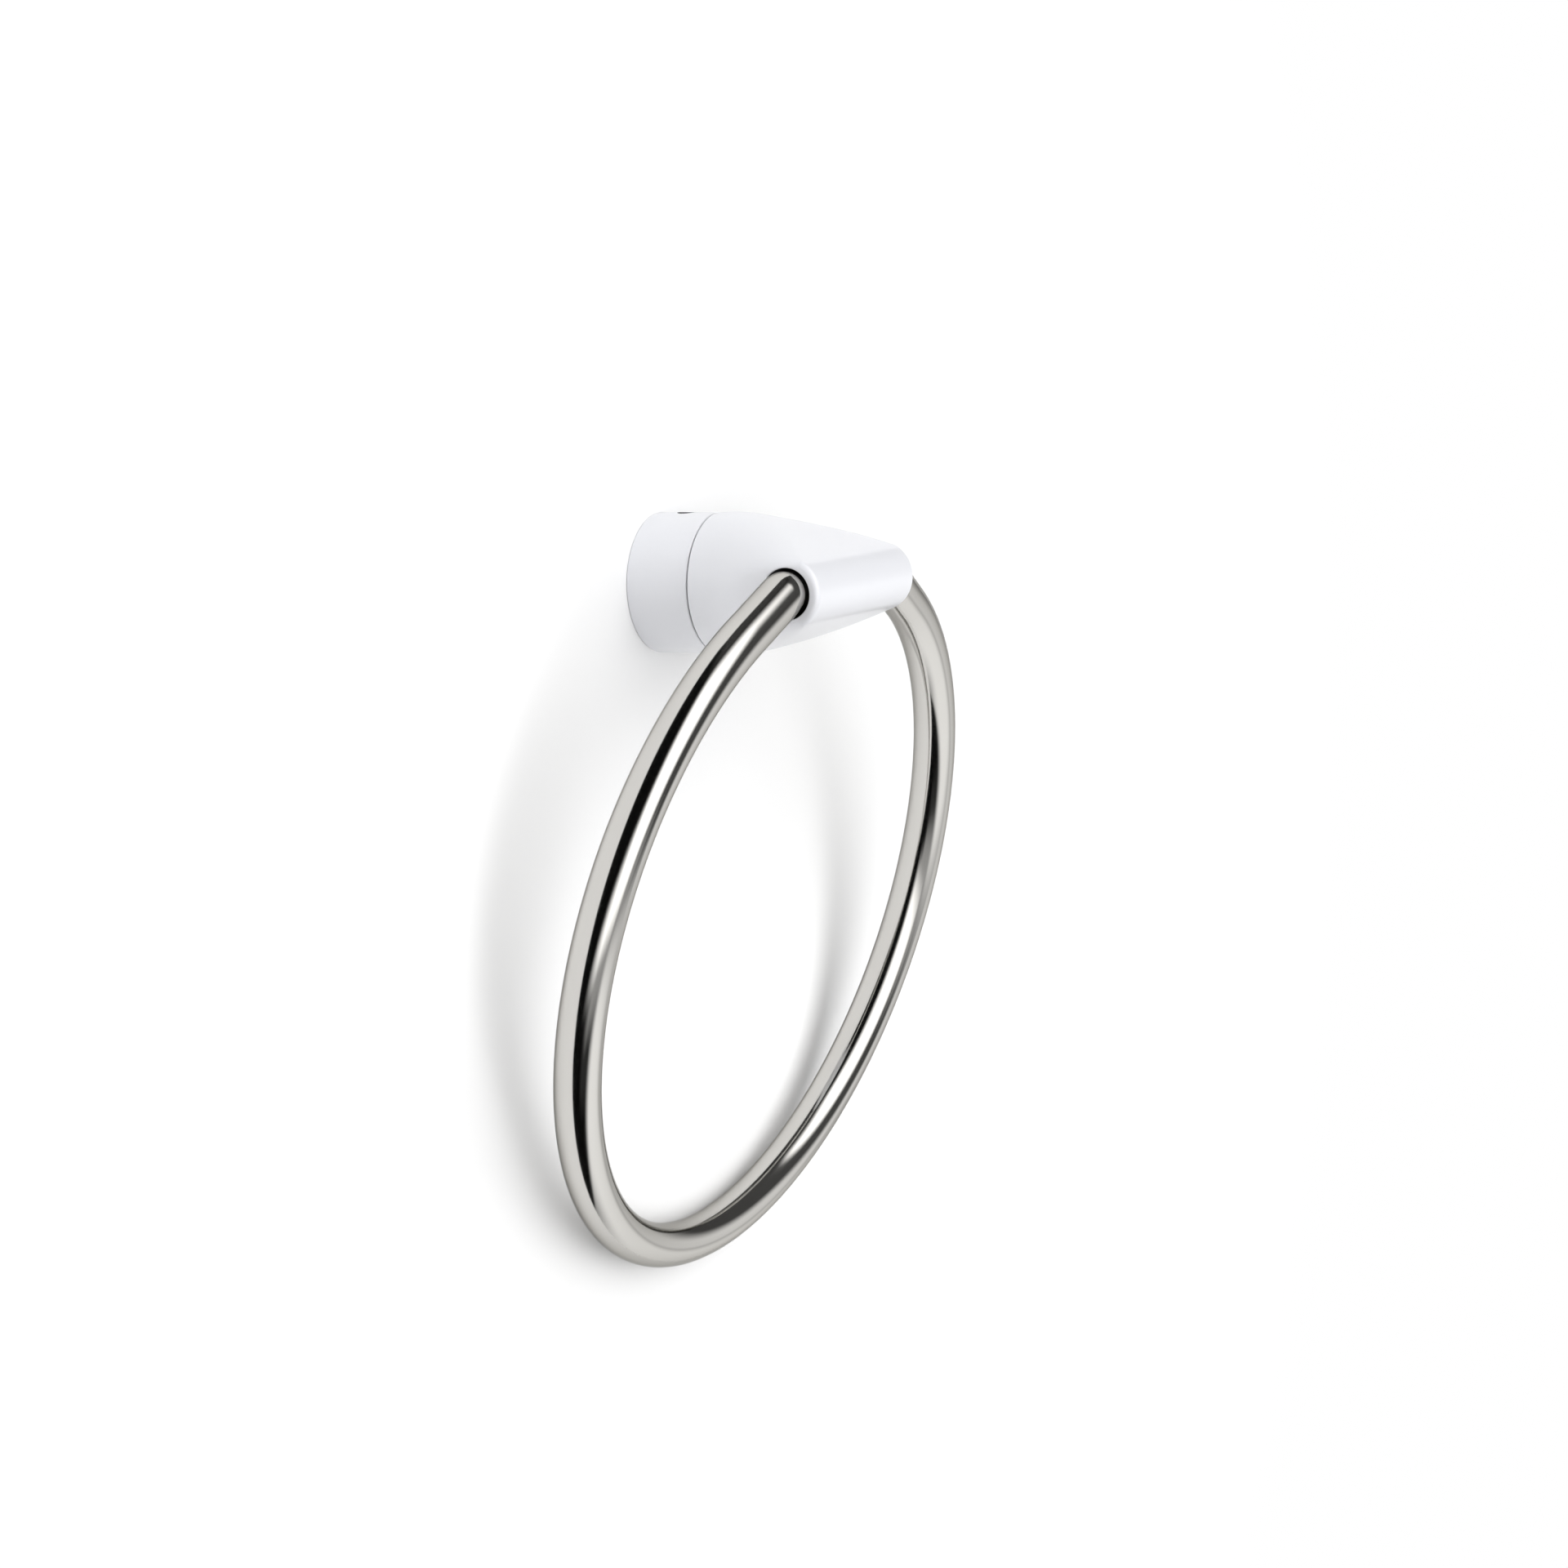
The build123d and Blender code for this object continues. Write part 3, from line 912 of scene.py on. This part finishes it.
def add_camera(settings):
    """The camera where the photograph was taken from."""
    right, up, back = camera_axes(settings)
    scale = settings.camera_distance / settings.focal_pixels
    aside = (settings.origin_column - PICTURE_SIZE / 2) * scale
    above = (PICTURE_SIZE / 2 - settings.origin_row) * scale
    data = bpy.data.cameras.new("camera")
    data.sensor_width = SENSOR_WIDTH
    data.lens = SENSOR_WIDTH * settings.focal_pixels / PICTURE_SIZE
    data.clip_start = NEAREST_SEEN
    camera = bpy.data.objects.new("camera", data)
    place = settings.camera_distance * back - aside * right - above * up
    camera.matrix_world = Matrix.Translation(place) @ Matrix((right, up, back)).transposed().to_4x4()
    bpy.context.scene.collection.objects.link(camera)
    bpy.context.scene.camera = camera


def add_wall(settings, steps=96):
    """A round patch of wall that faces the room, open where the post's plate covers it."""
    points = []
    for radius, x, z in (
        (settings.wall_radius, WALL_SHIFT[0], RING_MIDDLE + WALL_SHIFT[1]),
        (ROSETTE_HIGH.x - WALL_LAP, 0.0, 0.0),
    ):
        for k in range(steps):
            angle = 2 * pi * k / steps
            points.append((x + radius * cos(angle), 0.0, z + radius * sin(angle)))
    new_piece("wall", points, grid_faces(2, steps), wall_material())


def add_dome(rings=64, steps=96):
    """A shell round the object that only reflections see, as near or far as the real room seems."""
    centre = Vector(STUDIO_MIDDLE)
    points = []
    for row in range(rings + 1):
        polar = pi * row / rings
        for k in range(steps):
            angle = 2 * pi * k / steps
            way = Vector((sin(polar) * cos(angle), -cos(polar), sin(polar) * sin(angle)))
            azimuth = degrees(atan2(way.x, -way.y)) if 0 < row < rings else 0
            distance = float(np.interp(azimuth, STUDIO_AZIMUTHS, STUDIO_DISTANCES))
            if way.z < 0:
                distance = min(distance, STUDIO_FLOOR / -way.z)
            points.append(centre + distance * way)
    dome = new_piece("light_dome", points, grid_faces(rings + 1, steps), studio_material())
    tidy_surface(dome)
    for kind in ("camera", "diffuse", "transmission", "volume_scatter", "shadow"):
        setattr(dome, "visible_" + kind, False)


def add_world(settings):
    """Plain white to the camera; the room's light to the wall and the coat."""
    world = bpy.data.worlds.new("white_room")
    world.use_nodes = True
    tree = world.node_tree
    tree.nodes.clear()
    direction = add_node(tree, "ShaderNodeTexCoord").outputs["Generated"]
    level = light_pattern(tree, direction, ROOM_SHADE, ROOM_LEVELS)
    room = add_node(tree, "ShaderNodeBackground", Color=WHITE)
    feed(tree, room, Strength=calculate(tree, "MULTIPLY", level, settings.room_light))
    white = add_node(tree, "ShaderNodeBackground", Color=WHITE)
    seen = add_node(tree, "ShaderNodeLightPath").outputs["Is Camera Ray"]
    output = add_node(tree, "ShaderNodeOutputWorld")
    feed(tree, output, Surface=mixed(tree, seen, room.outputs[0], white.outputs[0]))
    lay_out(tree)
    bpy.context.scene.world = world
    world.cycles_visibility.glossy = False


class TOWEL_OT_stage(bpy.types.Operator):
    """Set up the wall, the soft light and the camera"""
    bl_idname = "towel.stage"
    bl_label = "Stage"

    def execute(self, context):
        settings = context.scene.towel_stage
        context.scene.view_settings.view_transform = "Standard"
        add_world(settings)
        add_wall(settings)
        add_dome()
        add_camera(settings)
        return {"FINISHED"}


# Add-on

class TOWEL_PT_panel(bpy.types.Panel):
    """Sizes and builders of the towel ring"""
    bl_idname = "TOWEL_PT_panel"
    bl_label = "Towel Ring"
    bl_space_type = "VIEW_3D"
    bl_region_type = "UI"
    bl_category = "Towel Ring"

    def draw(self, context):
        scene = context.scene
        for title, group, steps in (
            ("Post", scene.towel_post, ("towel.head", "towel.rosette", "towel.fixings")),
            ("Ring", scene.towel_ring, ("towel.ring",)),
            ("Stage", scene.towel_stage, ("towel.stage",)),
        ):
            box = self.layout.box()
            box.label(text=title)
            for name in group.bl_rna.properties.keys():
                if name not in ("rna_type", "name"):
                    box.prop(group, name)
            for step in steps:
                box.operator(step)


CLASSES = (
    PostSettings, RingSettings, StageSettings,
    TOWEL_OT_head, TOWEL_OT_rosette, TOWEL_OT_fixings, TOWEL_OT_ring, TOWEL_OT_stage,
    TOWEL_PT_panel,
)


def register():
    for each in CLASSES:
        bpy.utils.register_class(each)
    bpy.types.Scene.towel_post = PointerProperty(type=PostSettings)
    bpy.types.Scene.towel_ring = PointerProperty(type=RingSettings)
    bpy.types.Scene.towel_stage = PointerProperty(type=StageSettings)


def unregister():
    del bpy.types.Scene.towel_post
    del bpy.types.Scene.towel_ring
    del bpy.types.Scene.towel_stage
    for each in reversed(CLASSES):
        bpy.utils.unregister_class(each)


def main():
    register()
    towel = bpy.ops.towel
    for build in (towel.stage, towel.fixings, towel.rosette, towel.head, towel.ring):
        build()


if __name__ == "__main__":
    main()
